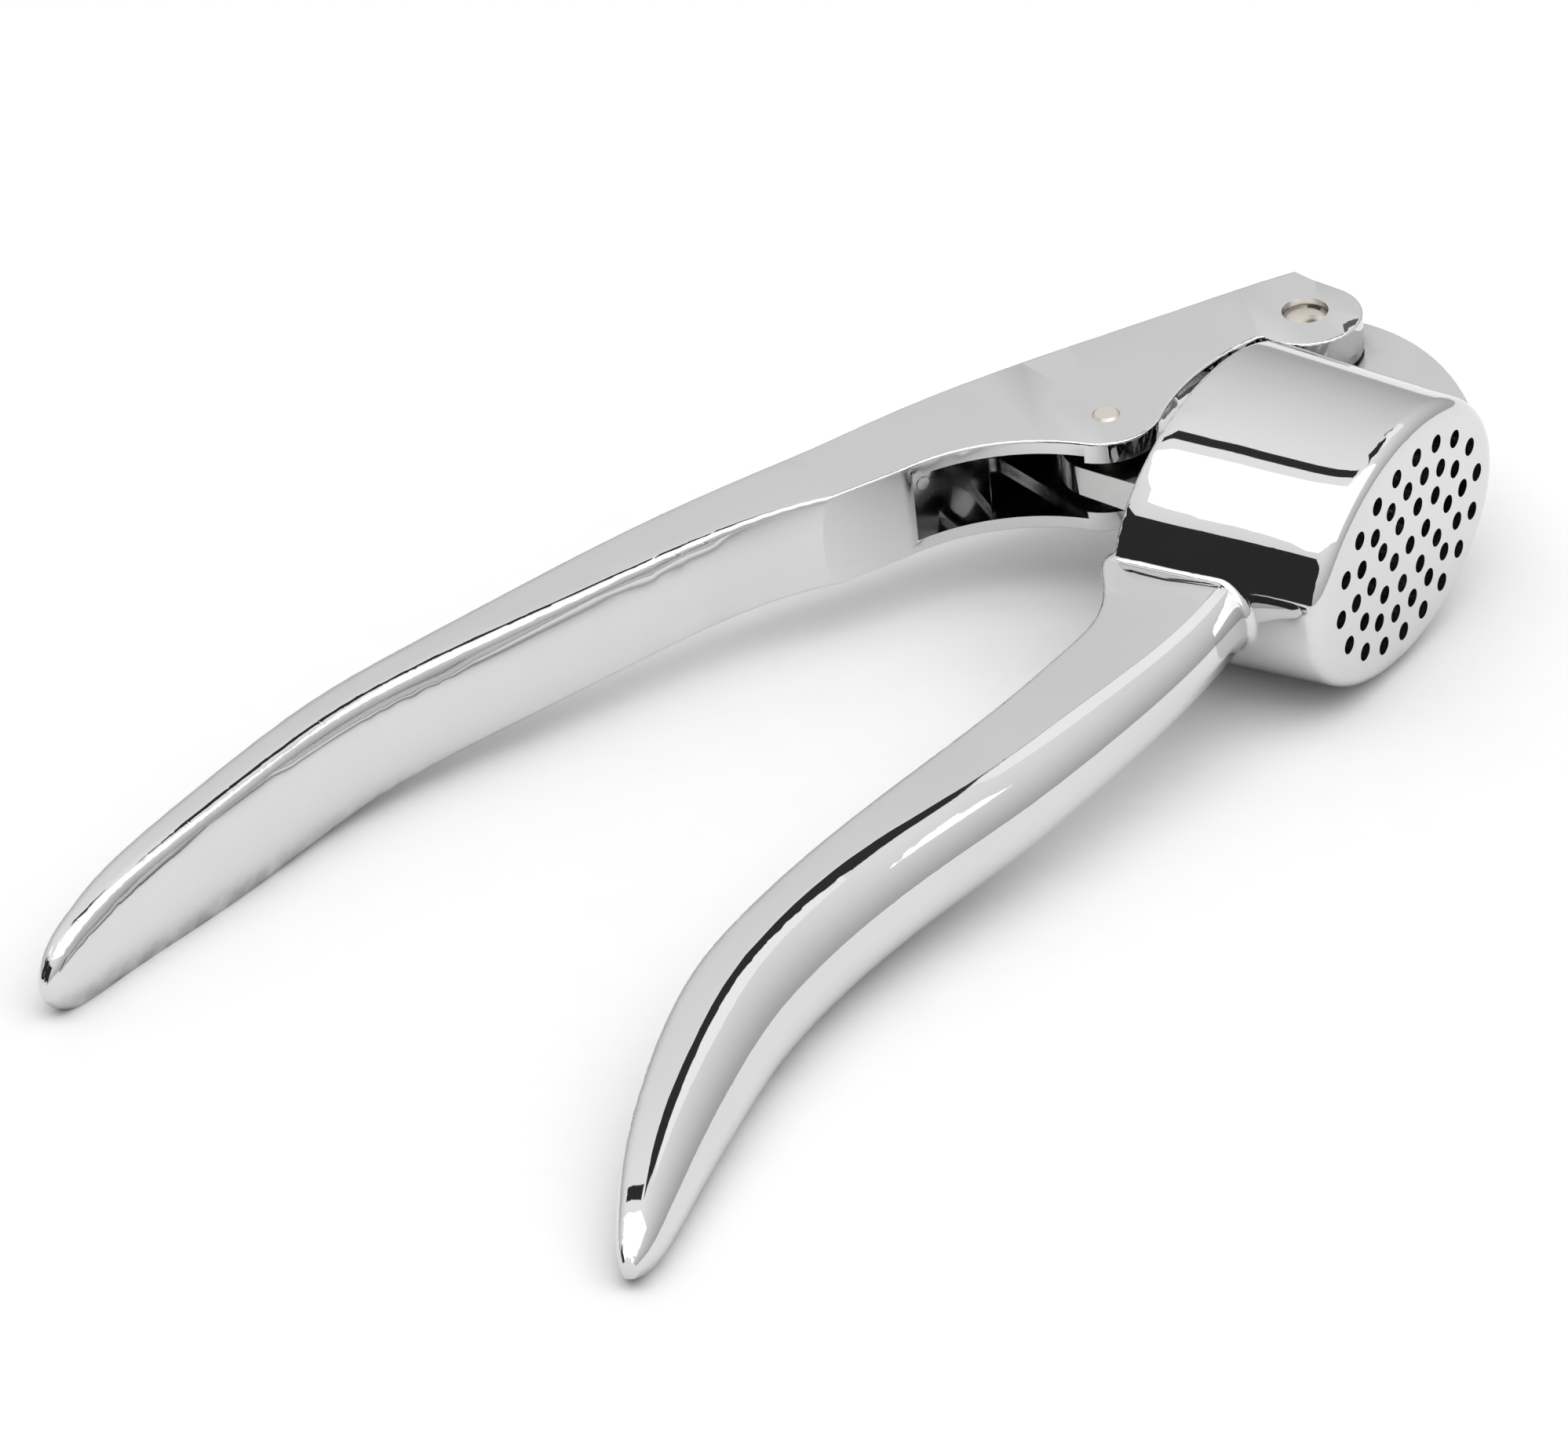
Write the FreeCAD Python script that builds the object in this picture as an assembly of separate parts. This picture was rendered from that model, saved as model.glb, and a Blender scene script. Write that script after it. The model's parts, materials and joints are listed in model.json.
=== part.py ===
"""Hand garlic press: two zinc castings on a hinge rivet, with a plunger on its own pin.

The press lies on its side. The hinge axis is vertical, +X runs along the handles
and +Y is the way the garlic leaves the cup. All sizes are in millimetres.
"""
import FreeCAD, Part
import math
import os

from FreeCAD import Vector

# ---------------------------------------------------------------- driving dimensions
# Positions below are measured from the hinge axis, which is moved at the end.

# Cup with the perforated grid, an oval tube with draft. Its axis is parallel to +Y.
CUP_X = 27.9
MOUTH_Y = 3.5
GRID_Y = 27.5
MOUTH_HALF = (21.2, 14.6)
GRID_HALF = (19.3, 13.8)
WALL = 2.2
GRID_THICKNESS = 2.0
GRID_EDGE_RADIUS = 2.0
RIM_RADIUS = 0.7
FLOOR_RADIUS = 0.8

# Holes of the grid: one row of three inside three oval rings.
HOLE_RADIUS = 1.0
CENTRE_ROW_PITCH = 3.48
HOLE_RINGS = ((8.39, 3.70, 10), (11.71, 6.72, 16), (14.96, 9.70, 18))

# Hinge: the lug of the body turns between the two cheeks of the lever.
CHEEK_HALF_HEIGHT = 5.6
FORK_HALF_GAP = 2.35
LUG_HALF_THICKNESS = 1.4
LUG_BOSS_RADIUS = 6.2
LUG_BOSS_HALF_HEIGHT = 2.15
HINGE_PIN_RADIUS = 2.55
RUNNING_CLEARANCE = 0.05
HINGE_PIN_RECESS = 0.25
HINGE_PIN_DOME = 0.45

# Plunger and its pin, which sits across the channel of the lever.
PIN_X = 26.8
PIN_Y = -9.44
PIN_RADIUS = 1.5
PIN_PROUD = 0.25
PIN_CHAMFER = 0.3
STEM_HALF_WIDTH = 5.2
STEM_HALF_THICKNESS = 1.8
STEM_FOOT_HALF_THICKNESS = 2.3
PLUNGER_TILT = -4.3
PLUNGER_REACH = 24.2
DISC_OFFSET = 0.7
DISC_GAP = (1.3, 0.6)
DISC_THICKNESS = 2.2
DISC_BEVEL = 0.7

# Channel under the lever: a wide pocket and a narrower slot for the stem.
SLOT_HALF_GAP = 3.15
POCKET_HALF_GAP = 4.0
CHANNEL_CORNER_RADIUS = 1.2

# Roundings where the lower handle leaves the cup and along the lever's head and nose.
NECK_RADIUS = 1.0
NECK_SPAN_X = (44.0, 50.5)
NECK_SHORTEST = (5.0, 0.3)
HEAD_EDGE_RADIUS = 0.3
HEAD_END_X = 48.0
HEAD_OUTER_LINE = (-0.62, -6.0)

# How far cutting tools reach past what they cut, and how near counts as touching.
CUT_MARGIN = 5.0
THROUGH_MARGIN = 1.0
NEAR = 0.1
UP = Vector(0, 0, 1)


# ---------------------------------------------------------------- small helpers
def point(x, y, z=0.0):
    """A point from hinge coordinates."""
    return Vector(x, y, z)


def prism(wire, low, high):
    """A closed flat outline in XY, pulled up from z = low to z = high."""
    face = Part.Face(wire)
    face.translate(Vector(0, 0, low))
    return face.extrude(Vector(0, 0, high - low))


def polygon(corners):
    """A closed outline with straight sides."""
    points = [point(x, y) for x, y in corners]
    return Part.makePolygon(points + points[:1])


def upright_cylinder(radius, x, y, low, high):
    """A cylinder about a vertical axis."""
    return Part.makeCylinder(radius, high - low, point(x, y, low), UP)


def smooth_curve(points):
    """One smooth curve through the points."""
    curve = Part.BSplineCurve()
    curve.interpolate([point(x, y) for x, y in points])
    return curve.toShape()


def oval(half_x, half_z, y):
    """An elliptical outline square to the cup's axis."""
    ellipse = Part.Ellipse(point(CUP_X + half_x, y), point(CUP_X, y, half_z), point(CUP_X, y))
    return Part.Wire(ellipse.toShape())


def side_arc_centre(reach, radius, corner, half_height):
    """Where a corner arc lies so that it runs smoothly into a bulged side.

    The side's arc has its crest at the distance reach. Returns the distance of the
    corner's centre and the point where the two arcs meet.
    """
    side_centre = reach - radius
    corner_z = half_height - corner
    corner_e = side_centre + math.sqrt((radius - corner) ** 2 - corner_z ** 2)
    stretch = radius / (radius - corner)
    meet_e = side_centre + (corner_e - side_centre) * stretch
    return corner_e, meet_e, corner_z * stretch


def grip_section(station):
    """The closed outline of a handle, square to it: two flats and two bulged sides.

    station is (x, y, heading, inner reach, outer reach, half height, corner radius,
    inner bulge radius, outer bulge radius). The heading is the handle's direction in
    degrees, and inner is the side on its left.
    """
    x, y, heading, inner, outer, half, corner, inner_radius, outer_radius = station
    left = Vector(-math.sin(math.radians(heading)), math.cos(math.radians(heading)), 0)
    origin = point(x, y)

    def at(e, z):
        return origin + left * e + UP * z

    edges = []
    in_e, in_meet_e, in_meet_z = side_arc_centre(inner, inner_radius, corner, half)
    out_e, out_meet_e, out_meet_z = side_arc_centre(outer, outer_radius, corner, half)
    corner_z = half - corner
    edges.append(Part.makeLine(at(-out_e, half), at(in_e, half)))
    edges.append(corner_arc(at, in_e, corner_z, corner, in_meet_e, in_meet_z))
    edges.append(side_arc(at, in_meet_e, in_meet_z, inner))
    edges.append(corner_arc(at, in_e, -corner_z, corner, in_meet_e, -in_meet_z, True))
    edges.append(Part.makeLine(at(in_e, -half), at(-out_e, -half)))
    edges.append(corner_arc(at, -out_e, -corner_z, corner, -out_meet_e, -out_meet_z))
    edges.append(side_arc(at, -out_meet_e, -out_meet_z, -outer))
    edges.append(corner_arc(at, -out_e, corner_z, corner, -out_meet_e, out_meet_z, True))
    return Part.Wire(edges)


def side_arc(at, meet_e, meet_z, crest):
    """The bulged side of a grip section, from one corner over its crest to the other."""
    return Part.Arc(at(meet_e, meet_z), at(crest, 0), at(meet_e, -meet_z)).toShape()


def corner_arc(at, centre_e, centre_z, radius, meet_e, meet_z, from_side=False):
    """The rounding between a flat and a bulged side of a grip section."""
    up = 1 if centre_z > 0 else -1
    flat = (centre_e, centre_z + up * radius)
    flat_angle = up * math.pi / 2
    meet_angle = math.atan2(meet_z - centre_z, meet_e - centre_e)
    turn = (meet_angle - flat_angle + math.pi) % (2 * math.pi) - math.pi
    middle_angle = flat_angle + turn / 2
    middle_e = centre_e + radius * math.cos(middle_angle)
    middle_z = centre_z + radius * math.sin(middle_angle)
    ends = [flat, (meet_e, meet_z)]
    if from_side:
        ends.reverse()
    return Part.Arc(at(*ends[0]), at(middle_e, middle_z), at(*ends[1])).toShape()


def grip(stations):
    """A smooth bar through the sections of a handle."""
    return Part.makeLoft([grip_section(station) for station in stations], True, False)


# ---------------------------------------------------------------- body casting
# Handle stations as in grip_section: the left side is the rounded outer face.
BODY_STATIONS = (
    (45.0, 15.4, 0, 4.2, 11.0, 4.1, 0.6, 4.2, 60),
    (52.0, 15.4, 0, 4.3, 10.9, 4.2, 0.6, 4.3, 60),
    (58.0, 15.3, -2, 4.5, 8.1, 4.4, 0.6, 4.5, 60),
    (66.0, 14.5, -6, 4.9, 7.0, 4.8, 0.7, 4.9, 50),
    (75.0, 13.2, -9, 5.3, 6.3, 5.2, 0.8, 5.3, 40),
    (85.0, 11.3, -12, 5.8, 5.7, 5.6, 1.0, 5.8, 30),
    (97.0, 8.4, -12, 6.3, 4.5, 6.1, 1.1, 6.3, 25),
    (108.0, 6.5, -7, 6.5, 3.9, 6.4, 1.2, 6.5, 22),
    (117.0, 5.8, 0, 6.6, 3.7, 6.5, 1.2, 6.6, 20),
    (126.0, 6.2, 7, 6.5, 3.7, 6.4, 1.2, 6.5, 20),
    (135.0, 8.0, 14, 6.1, 3.4, 6.0, 1.2, 6.1, 20),
    (144.0, 10.6, 18, 5.4, 2.9, 5.3, 1.2, 5.4, 16),
    (151.0, 13.2, 22, 4.5, 2.4, 4.4, 1.1, 4.5, 12),
    (156.5, 15.7, 25, 3.3, 1.8, 3.3, 1.0, 3.5, 8),
    (159.6, 17.2, 26, 2.1, 1.2, 2.1, 0.7, 2.3, 5),
    (161.0, 17.9, 26, 1.0, 0.6, 1.0, 0.4, 1.2, 2.4),
)
LUG_OUTLINE_TOP = ((-6.1, 1.5), (-4.8, 10.4), (0.9, 19.1), (9.9, 26.6))
LUG_WALL_FOOT = (7.5, 4.0)
LUG_UNDERSIDE = (4.0, -4.5)


def cup_half_sizes(y, inset):
    """The half width and half height of the cup's oval at one depth, less an inset."""
    share = (y - MOUTH_Y) / (GRID_Y - MOUTH_Y)
    return [mouth + (grid - mouth) * share - inset for mouth, grid in zip(MOUTH_HALF, GRID_HALF)]


def cup_oval(y, inset):
    """The outline of the cup at one depth."""
    half_x, half_z = cup_half_sizes(y, inset)
    return oval(half_x, half_z, y)


def ring_points(half_x, half_z, count):
    """Points at equal steps along an ellipse, starting on its long axis."""
    ellipse = Part.Ellipse(Vector(half_x, 0, 0), Vector(0, half_z, 0), Vector(0, 0, 0))
    edge = ellipse.toShape()
    return edge.discretize(count + 1)[:-1]


def hole_places():
    """The centres of the holes in the grid, as x and z about the cup's axis."""
    places = [(step * CENTRE_ROW_PITCH, 0) for step in (-1, 0, 1)]
    for half_x, half_z, count in HOLE_RINGS:
        places += [(spot.x, spot.y) for spot in ring_points(half_x, half_z, count)]
    return places


def cup_shell():
    """The outside of the cup, with a rounded rim and a rounded edge at the grid."""
    shell = Part.makeLoft([cup_oval(MOUTH_Y, 0), cup_oval(GRID_Y, 0)], True, True)
    rim = [edge for edge in shell.Edges if edge.BoundBox.YMax < MOUTH_Y + NEAR]
    shell = shell.makeFillet(RIM_RADIUS, rim)
    grid = [edge for edge in shell.Edges if edge.BoundBox.YMin > GRID_Y - NEAR]
    return shell.makeFillet(GRID_EDGE_RADIUS, grid)


def garlic_chamber():
    """The space inside the cup, from below the mouth to the grid."""
    floor_y = GRID_Y - GRID_THICKNESS
    mouth = cup_oval(MOUTH_Y - 2 * THROUGH_MARGIN, WALL)
    chamber = Part.makeLoft([mouth, cup_oval(floor_y, WALL)], True, True)
    floor = [edge for edge in chamber.Edges if edge.BoundBox.YMin > floor_y - NEAR]
    return chamber.makeFillet(FLOOR_RADIUS, floor)


def lug():
    """The plate from the cup to the hinge, with the round boss of the hinge."""
    top = smooth_curve(LUG_OUTLINE_TOP)
    corners = (LUG_OUTLINE_TOP[-1], LUG_WALL_FOOT, LUG_UNDERSIDE, LUG_OUTLINE_TOP[0])
    sides = [Part.makeLine(point(*start), point(*end)) for start, end in zip(corners, corners[1:])]
    plate = prism(Part.Wire([top] + sides), -LUG_HALF_THICKNESS, LUG_HALF_THICKNESS)
    boss = upright_cylinder(LUG_BOSS_RADIUS, 0, 0, -LUG_BOSS_HALF_HEIGHT, LUG_BOSS_HALF_HEIGHT)
    return plate.fuse(boss)


def cup_with_handle():
    """The cup and its handle in one solid, with a small fillet where they meet."""
    joined = cup_shell().fuse(grip(BODY_STATIONS))
    low, high = NECK_SPAN_X
    neck = []
    for edge in joined.Edges:
        box = edge.BoundBox
        across = box.YLength > NECK_SHORTEST[0] or box.ZLength > NECK_SHORTEST[1]
        if box.XMin > low and box.XMax < high and across:
            neck.append(edge)
    return joined.makeFillet(NECK_RADIUS, neck)


def body_casting():
    """Cup, lug and lower handle, cast in one piece."""
    casting = cup_with_handle().fuse(lug())
    casting = casting.cut(garlic_chamber())
    grid_back = GRID_Y - GRID_THICKNESS - THROUGH_MARGIN
    depth = GRID_THICKNESS + 2 * THROUGH_MARGIN
    holes = []
    for x, z in hole_places():
        start = point(CUP_X + x, grid_back, z)
        holes.append(Part.makeCylinder(HOLE_RADIUS, depth, start, Vector(0, 1, 0)))
    bore_radius = HINGE_PIN_RADIUS + RUNNING_CLEARANCE
    holes.append(upright_cylinder(bore_radius, 0, 0, -CHEEK_HALF_HEIGHT, CHEEK_HALF_HEIGHT))
    return casting.cut(holes)


# ---------------------------------------------------------------- lever casting
# The left side of these stations is the inner face, which looks at the cup.
LEVER_STATIONS = (
    (-6.9, 11.2, -36, 12, 12.3, CHEEK_HALF_HEIGHT, 0.5, 150, 150),
    (12.5, -3.1, -35, 12, 12.4, CHEEK_HALF_HEIGHT, 0.5, 150, 150),
    (28.0, -12.8, -30, 12, 12.4, CHEEK_HALF_HEIGHT, 0.5, 120, 120),
    (43.2, -25.0, -25.5, 8, 8.6, CHEEK_HALF_HEIGHT, 0.5, 80, 80),
    (52.8, -33.4, -24, 4.5, 5.1, CHEEK_HALF_HEIGHT, 0.6, 50, 40),
    (68.7, -41.3, -21, 4.0, 4.5, 5.8, 1.0, 30, 20),
    (88.1, -48.6, -16, 4.0, 4.3, 6.2, 1.5, 20, 11),
    (105.3, -54.4, -11, 4.0, 4.0, 6.5, 1.6, 20, 9),
    (118.0, -56.2, -6.5, 3.9, 3.9, 6.6, 1.6, 20, 9),
    (129.0, -57.1, -3, 3.6, 3.7, 6.4, 1.6, 20, 9),
    (139.0, -57.6, 0, 3.0, 3.1, 5.9, 1.4, 16, 10),
    (145.5, -57.5, 3, 2.5, 2.5, 5.0, 1.3, 12, 9),
    (149.2, -57.3, 5, 2.0, 2.0, 3.9, 1.1, 9, 7),
    (151.3, -57.1, 6, 1.3, 1.3, 2.4, 0.8, 5, 4),
    (152.1, -57.0, 6, 0.6, 0.6, 1.1, 0.4, 2.4, 2.2),
)
HEAD_CORNER = (-6.3, -4.0)
HEAD_ARC = ((-5.5, 1.6), (0.6, 6.6), (6.4, -1.6))
TOE_ARC = ((6.9, -2.2), (15.0, -4.5), (25.0, -3.8))
NOSE_ARC = ((30.2, -4.9), (32.7, -8.7))
HEEL_ARC = ((36.3, -16.9), (45.1, -23.9))
CLEAR_OF_ARM = ((56.0, -29.8), (60.0, -20.0), (170.0, -20.0), (170.0, -90.0), (-30.0, -90.0))
FORK_RELIEF_RADIUS = 6.7
FORK_RELIEF = ((-20.0, -2.5), (6.5, -1.5), (12.0, -6.0), (12.0, 30.0), (-20.0, 30.0))
SLOT_OUTLINE = ((9.5, 5.0), (9.5, -12.6), (26.0, -22.9), (29.5, -24.6), (36.0, 5.0))
POCKET_OUTLINE = ((36.8, 3.0), (27.6, -23.6), (40.9, -30.1), (55.0, 1.0))


def arc(start, middle, end):
    """A circular edge through three places in XY."""
    return Part.Arc(point(*start), point(*middle), point(*end)).toShape()


def lever_outline():
    """The outline that the lever is trimmed to: its head, nose and heel."""
    edges = [
        Part.makeLine(point(*HEAD_CORNER), point(*HEAD_ARC[0])),
        arc(*HEAD_ARC),
        Part.makeLine(point(*HEAD_ARC[-1]), point(*TOE_ARC[0])),
        arc(*TOE_ARC),
        arc(TOE_ARC[-1], *NOSE_ARC),
        arc(NOSE_ARC[-1], *HEEL_ARC),
    ]
    corners = (HEEL_ARC[-1],) + CLEAR_OF_ARM + (HEAD_CORNER,)
    edges += [Part.makeLine(point(*start), point(*end)) for start, end in zip(corners, corners[1:])]
    return Part.Wire(edges)


def channel(outline, half_gap):
    """A straight-sided recess with rounded upright corners."""
    block = prism(polygon(outline), -half_gap, half_gap)
    upright = [edge for edge in block.Edges if edge.BoundBox.ZLength > half_gap]
    return block.makeFillet(CHANNEL_CORNER_RADIUS, upright)


def head_edges(lever):
    """The edges of the head and nose on the two flat sides of the lever, but for its outer edge."""
    slope, offset = HEAD_OUTER_LINE
    found = []
    for edge in lever.Edges:
        box = edge.BoundBox
        flat = box.ZLength < 2 * NEAR and abs(box.Center.z) > CHEEK_HALF_HEIGHT - NEAR
        middle = edge.valueAt((edge.FirstParameter + edge.LastParameter) / 2)
        if flat and box.XMax < HEAD_END_X and middle.y > slope * middle.x + offset:
            found.append(edge)
    return found


def lever_casting():
    """Upper handle, cast in one piece with the fork of the hinge and the plunger channel."""
    reach = CHEEK_HALF_HEIGHT + CUT_MARGIN
    casting = grip(LEVER_STATIONS).common(prism(lever_outline(), -reach, reach))
    casting = casting.makeFillet(HEAD_EDGE_RADIUS, head_edges(casting))
    relief = upright_cylinder(FORK_RELIEF_RADIUS, 0, 0, -FORK_HALF_GAP, FORK_HALF_GAP)
    cuts = [
        relief.fuse(prism(polygon(FORK_RELIEF), -FORK_HALF_GAP, FORK_HALF_GAP)),
        channel(SLOT_OUTLINE, SLOT_HALF_GAP),
        channel(POCKET_OUTLINE, POCKET_HALF_GAP),
        upright_cylinder(HINGE_PIN_RADIUS, 0, 0, -reach, reach),
        upright_cylinder(PIN_RADIUS, PIN_X, PIN_Y, -reach, reach),
    ]
    return casting.cut(cuts)


# ---------------------------------------------------------------- plunger and pins
def plunger():
    """The oval disc and its stem, square to each other, drawn with the pin's axis at 0, 0."""
    floor_half = cup_half_sizes(GRID_Y - GRID_THICKNESS, WALL)
    half_x, half_z = [half - gap for half, gap in zip(floor_half, DISC_GAP)]
    disc = Part.makeLoft([
        disc_oval(half_x - DISC_BEVEL, half_z - DISC_BEVEL, PLUNGER_REACH - DISC_THICKNESS),
        disc_oval(half_x, half_z, PLUNGER_REACH),
    ], True, True)
    foot_y = PLUNGER_REACH - DISC_THICKNESS / 2
    stem = Part.makeLoft([
        stem_outline(0, STEM_HALF_THICKNESS),
        stem_outline(foot_y, STEM_FOOT_HALF_THICKNESS),
    ], True, True)
    eye = upright_cylinder(STEM_HALF_WIDTH, 0, 0, -STEM_HALF_THICKNESS, STEM_HALF_THICKNESS)
    bore = upright_cylinder(PIN_RADIUS + RUNNING_CLEARANCE, 0, 0, -PLUNGER_REACH, PLUNGER_REACH)
    piece = disc.fuse([stem, eye]).cut(bore)
    piece.rotate(point(0, 0), UP, PLUNGER_TILT)
    piece.translate(point(PIN_X, PIN_Y))
    return piece


def disc_oval(half_x, half_z, y):
    """An outline of the plunger's disc."""
    centre = point(DISC_OFFSET, y)
    ellipse = Part.Ellipse(centre + Vector(half_x, 0, 0), centre + Vector(0, 0, half_z), centre)
    return Part.Wire(ellipse.toShape())


def stem_outline(y, half_thickness):
    """A rectangular section of the plunger's stem."""
    corners = [(-1, -1), (1, -1), (1, 1), (-1, 1)]
    points = [point(side * STEM_HALF_WIDTH, y, face * half_thickness) for side, face in corners]
    return Part.makePolygon(points + points[:1])


def hinge_rivet():
    """The rivet of the hinge, with a low dome at each end, just inside the cheeks."""
    half = CHEEK_HALF_HEIGHT - HINGE_PIN_RECESS
    dome_radius = (HINGE_PIN_RADIUS ** 2 + HINGE_PIN_DOME ** 2) / (2 * HINGE_PIN_DOME)
    offset = half - dome_radius
    upper_dome = Part.makeSphere(dome_radius, point(0, 0, offset))
    lower_dome = Part.makeSphere(dome_radius, point(0, 0, -offset))
    shank = upright_cylinder(HINGE_PIN_RADIUS, 0, 0, -half, half)
    return shank.common(upper_dome).common(lower_dome)


def plunger_pin():
    """The straight pin of the plunger, with chamfered ends just proud of the lever."""
    half = CHEEK_HALF_HEIGHT + PIN_PROUD
    pin = upright_cylinder(PIN_RADIUS, PIN_X, PIN_Y, -half, half)
    ends = [edge for edge in pin.Edges if edge.BoundBox.ZLength < NEAR]
    return pin.makeChamfer(PIN_CHAMFER, ends)


# ---------------------------------------------------------------- assembly
PIECES = {
    "body_casting": body_casting,
    "lever_casting": lever_casting,
    "plunger": plunger,
    "hinge_rivet": hinge_rivet,
    "plunger_pin": plunger_pin,
}


def origin_shift(shapes):
    """The move that puts the origin under the middle of the whole press."""
    box = Part.makeCompound(shapes).optimalBoundingBox()
    return Vector(-(box.XMin + box.XMax) / 2, -(box.YMin + box.YMax) / 2, -box.ZMin)


def main():
    """Build every piece and write it to parts/."""
    os.makedirs("parts", exist_ok=True)
    shapes = {name: build() for name, build in PIECES.items()}
    shift = origin_shift(list(shapes.values()))
    print("hinge axis", shift)
    for name, shape in shapes.items():
        if len(shape.Solids) != 1 or not shape.isValid():
            raise ValueError(f"{name} is not one valid solid")
        solid = shape.Solids[0]
        solid.translate(shift)
        solid.exportStep(os.path.join("parts", f"{name}.step"))
        print(name, round(solid.Volume), "mm3")


main()
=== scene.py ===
"""Looks of a cast garlic press: chrome castings, plain steel pins and a white studio.

The press lies on its side on a pale floor. The CAD frame gives every piece its shape and
its place. This script shows each one through a smoothed copy of its mesh, adds the
finishes and the mark of the mould's ejector pin, and sets up the studio.
"""

import json
import logging
import math
from dataclasses import dataclass, field
from enum import Enum

import bmesh
import bpy
import numpy as np
from mathutils import Euler, Matrix, Vector


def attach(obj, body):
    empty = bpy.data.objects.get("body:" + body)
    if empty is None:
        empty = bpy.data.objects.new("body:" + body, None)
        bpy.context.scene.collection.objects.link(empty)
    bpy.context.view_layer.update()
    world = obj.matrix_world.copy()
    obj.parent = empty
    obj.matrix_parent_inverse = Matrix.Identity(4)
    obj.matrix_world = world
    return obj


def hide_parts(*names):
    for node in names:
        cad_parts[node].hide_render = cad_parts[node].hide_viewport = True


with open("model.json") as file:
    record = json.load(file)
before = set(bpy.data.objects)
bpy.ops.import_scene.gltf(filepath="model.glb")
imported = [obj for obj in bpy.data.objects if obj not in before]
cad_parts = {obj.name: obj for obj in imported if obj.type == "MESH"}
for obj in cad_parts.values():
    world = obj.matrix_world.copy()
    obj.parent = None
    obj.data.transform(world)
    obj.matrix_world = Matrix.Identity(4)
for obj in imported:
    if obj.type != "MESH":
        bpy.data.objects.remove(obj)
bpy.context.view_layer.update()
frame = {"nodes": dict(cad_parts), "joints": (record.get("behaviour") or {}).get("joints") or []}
LOG = logging.getLogger("garlic_press")

MM = 0.001
WHITE = (1.0, 1.0, 1.0, 1.0)
Triple = tuple[float, float, float]


class Body(Enum):
    """The moving bodies of the press."""

    BODY = "body"
    LEVER = "lever"
    PLUNGER = "plunger_swing"


class Slot(Enum):
    """The material slots of the record."""

    CASTING = "polished_casting"
    PLUNGER = "plunger_casting"
    STEEL = "pin_steel"


class Output(Enum):
    """What a shader node group puts out."""

    NUMBER = "NodeSocketFloat"
    DIRECTION = "NodeSocketVector"


# ---------------------------------------------------------------- places and shapes
def hinge_centre() -> Vector:
    """Finds the hinge axis in the row frame.

    Returns:
        The point that all studio positions are measured from, in metres.
    """
    for joint in frame["joints"]:
        if joint["name"] == "lever_hinge":
            return Vector(joint["pos_m"])
    raise LookupError("lever_hinge")


HINGE = hinge_centre()


def from_hinge(x: float, y: float, z: float) -> Vector:
    """Turns millimetres from the hinge into a point of the row frame.

    Args:
        x: Distance along the handles.
        y: Distance towards the grid.
        z: Height above the middle plane.

    Returns:
        The point in the row frame, in metres.
    """
    return HINGE + Vector((x, y, z)) * MM


def turn_onto(axis: Vector) -> Matrix:
    """Finds the turn that lays +Z along an axis.

    Args:
        axis: The direction, of any length.

    Returns:
        The turn as a 4x4 matrix.
    """
    return axis.normalized().to_track_quat("Z", "Y").to_matrix().to_4x4()


def add_object(name: str, shape: bmesh.types.BMesh) -> bpy.types.Object:
    """Makes a finished shape an object of the scene, at the origin.

    Args:
        name: The object's name.
        shape: The shape, which is freed.

    Returns:
        The new object.
    """
    mesh = bpy.data.meshes.new(name)
    shape.to_mesh(mesh)
    shape.free()
    made = bpy.data.objects.new(name, mesh)
    bpy.context.scene.collection.objects.link(made)
    return made


# ---------------------------------------------------------------- shader nodes
@dataclass(frozen=True)
class Grain:
    """A noise pattern in Object coordinates.

    Args:
        scale: How fine it is, per metre.
        detail: The number of octaves.
        stretch: How much each axis is scaled before the noise.
    """

    scale: float
    detail: float
    stretch: Triple = (1.0, 1.0, 1.0)


@dataclass(frozen=True)
class Span:
    """A range of values and the range that it is mapped onto.

    Args:
        low: Where the source range starts.
        high: Where the source range ends.
        start: The result at low.
        end: The result at high.
    """

    low: float
    high: float
    start: float = 0.0
    end: float = 1.0


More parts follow.
